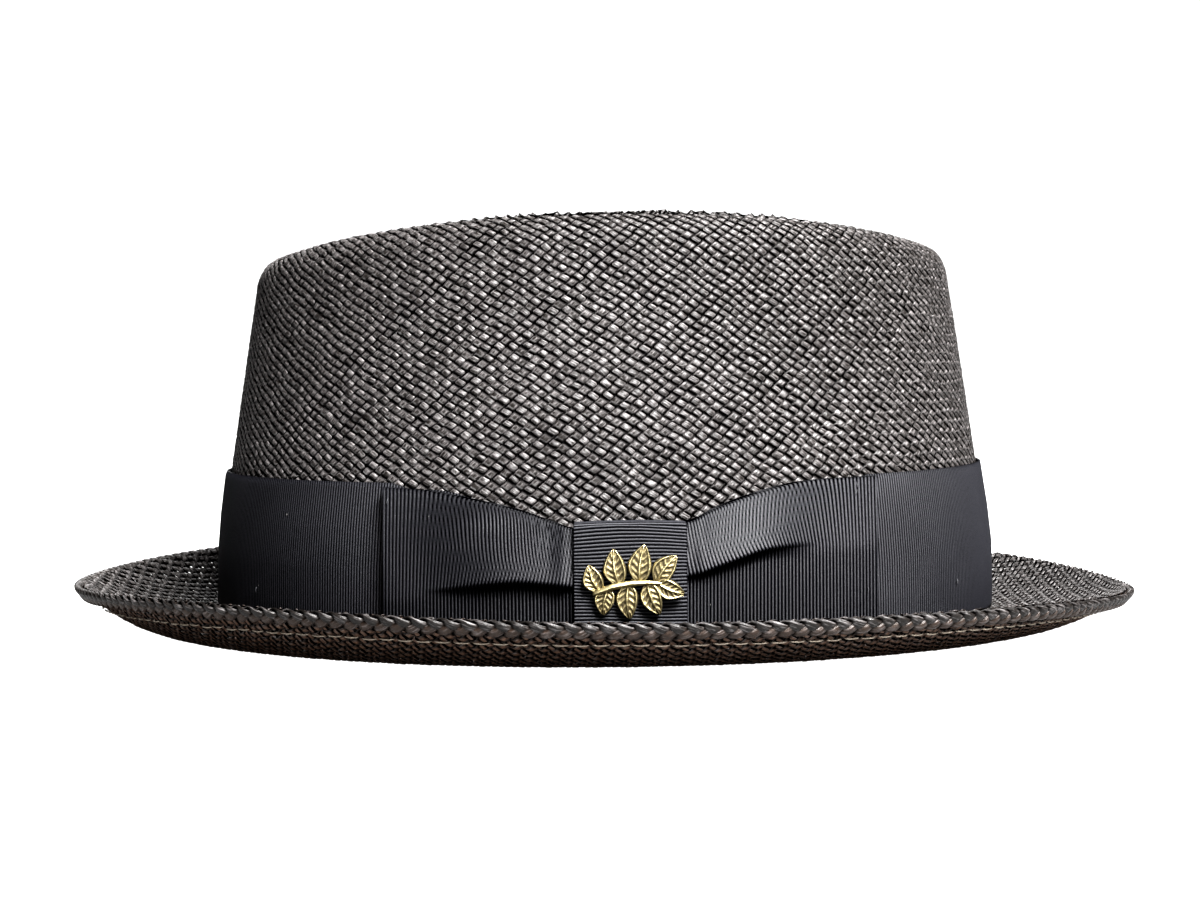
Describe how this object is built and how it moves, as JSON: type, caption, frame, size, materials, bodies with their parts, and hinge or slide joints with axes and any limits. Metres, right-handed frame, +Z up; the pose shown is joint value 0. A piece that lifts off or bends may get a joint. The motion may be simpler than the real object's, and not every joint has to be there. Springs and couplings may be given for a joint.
{
  "type": "porkpie hat",
  "caption": "Woven straw porkpie hat with a telescoped oval crown, curled stingy brim with a plaited edge, ribbed ribbon band, flat side bow and a small brass sprig pin.",
  "frame": {"origin": "middle of the hat's outline on the surface it rests on", "axes": "+X towards the back of the hat, -X is the front, -Y is the wearer's left with the bow, +Z up"},
  "size_m": [0.2804, 0.2418, 0.1076],
  "materials": {
    "straw": "dyed plain-woven straw, dull sheen",
    "plait": "plaited straw, dull sheen",
    "ribbon": "ribbed grosgrain, matt",
    "brass": "antique cast, rubbed bright on top"
  },
  "bodies": {
    "root": {"straw_body": "straw", "edge_plait": "plait", "ribbon_band": "ribbon", "bow_loop_front": "ribbon", "bow_loop_back": "ribbon", "bow_wrap": "ribbon", "sprig_pin": "brass"}
  },
  "joints": []
}
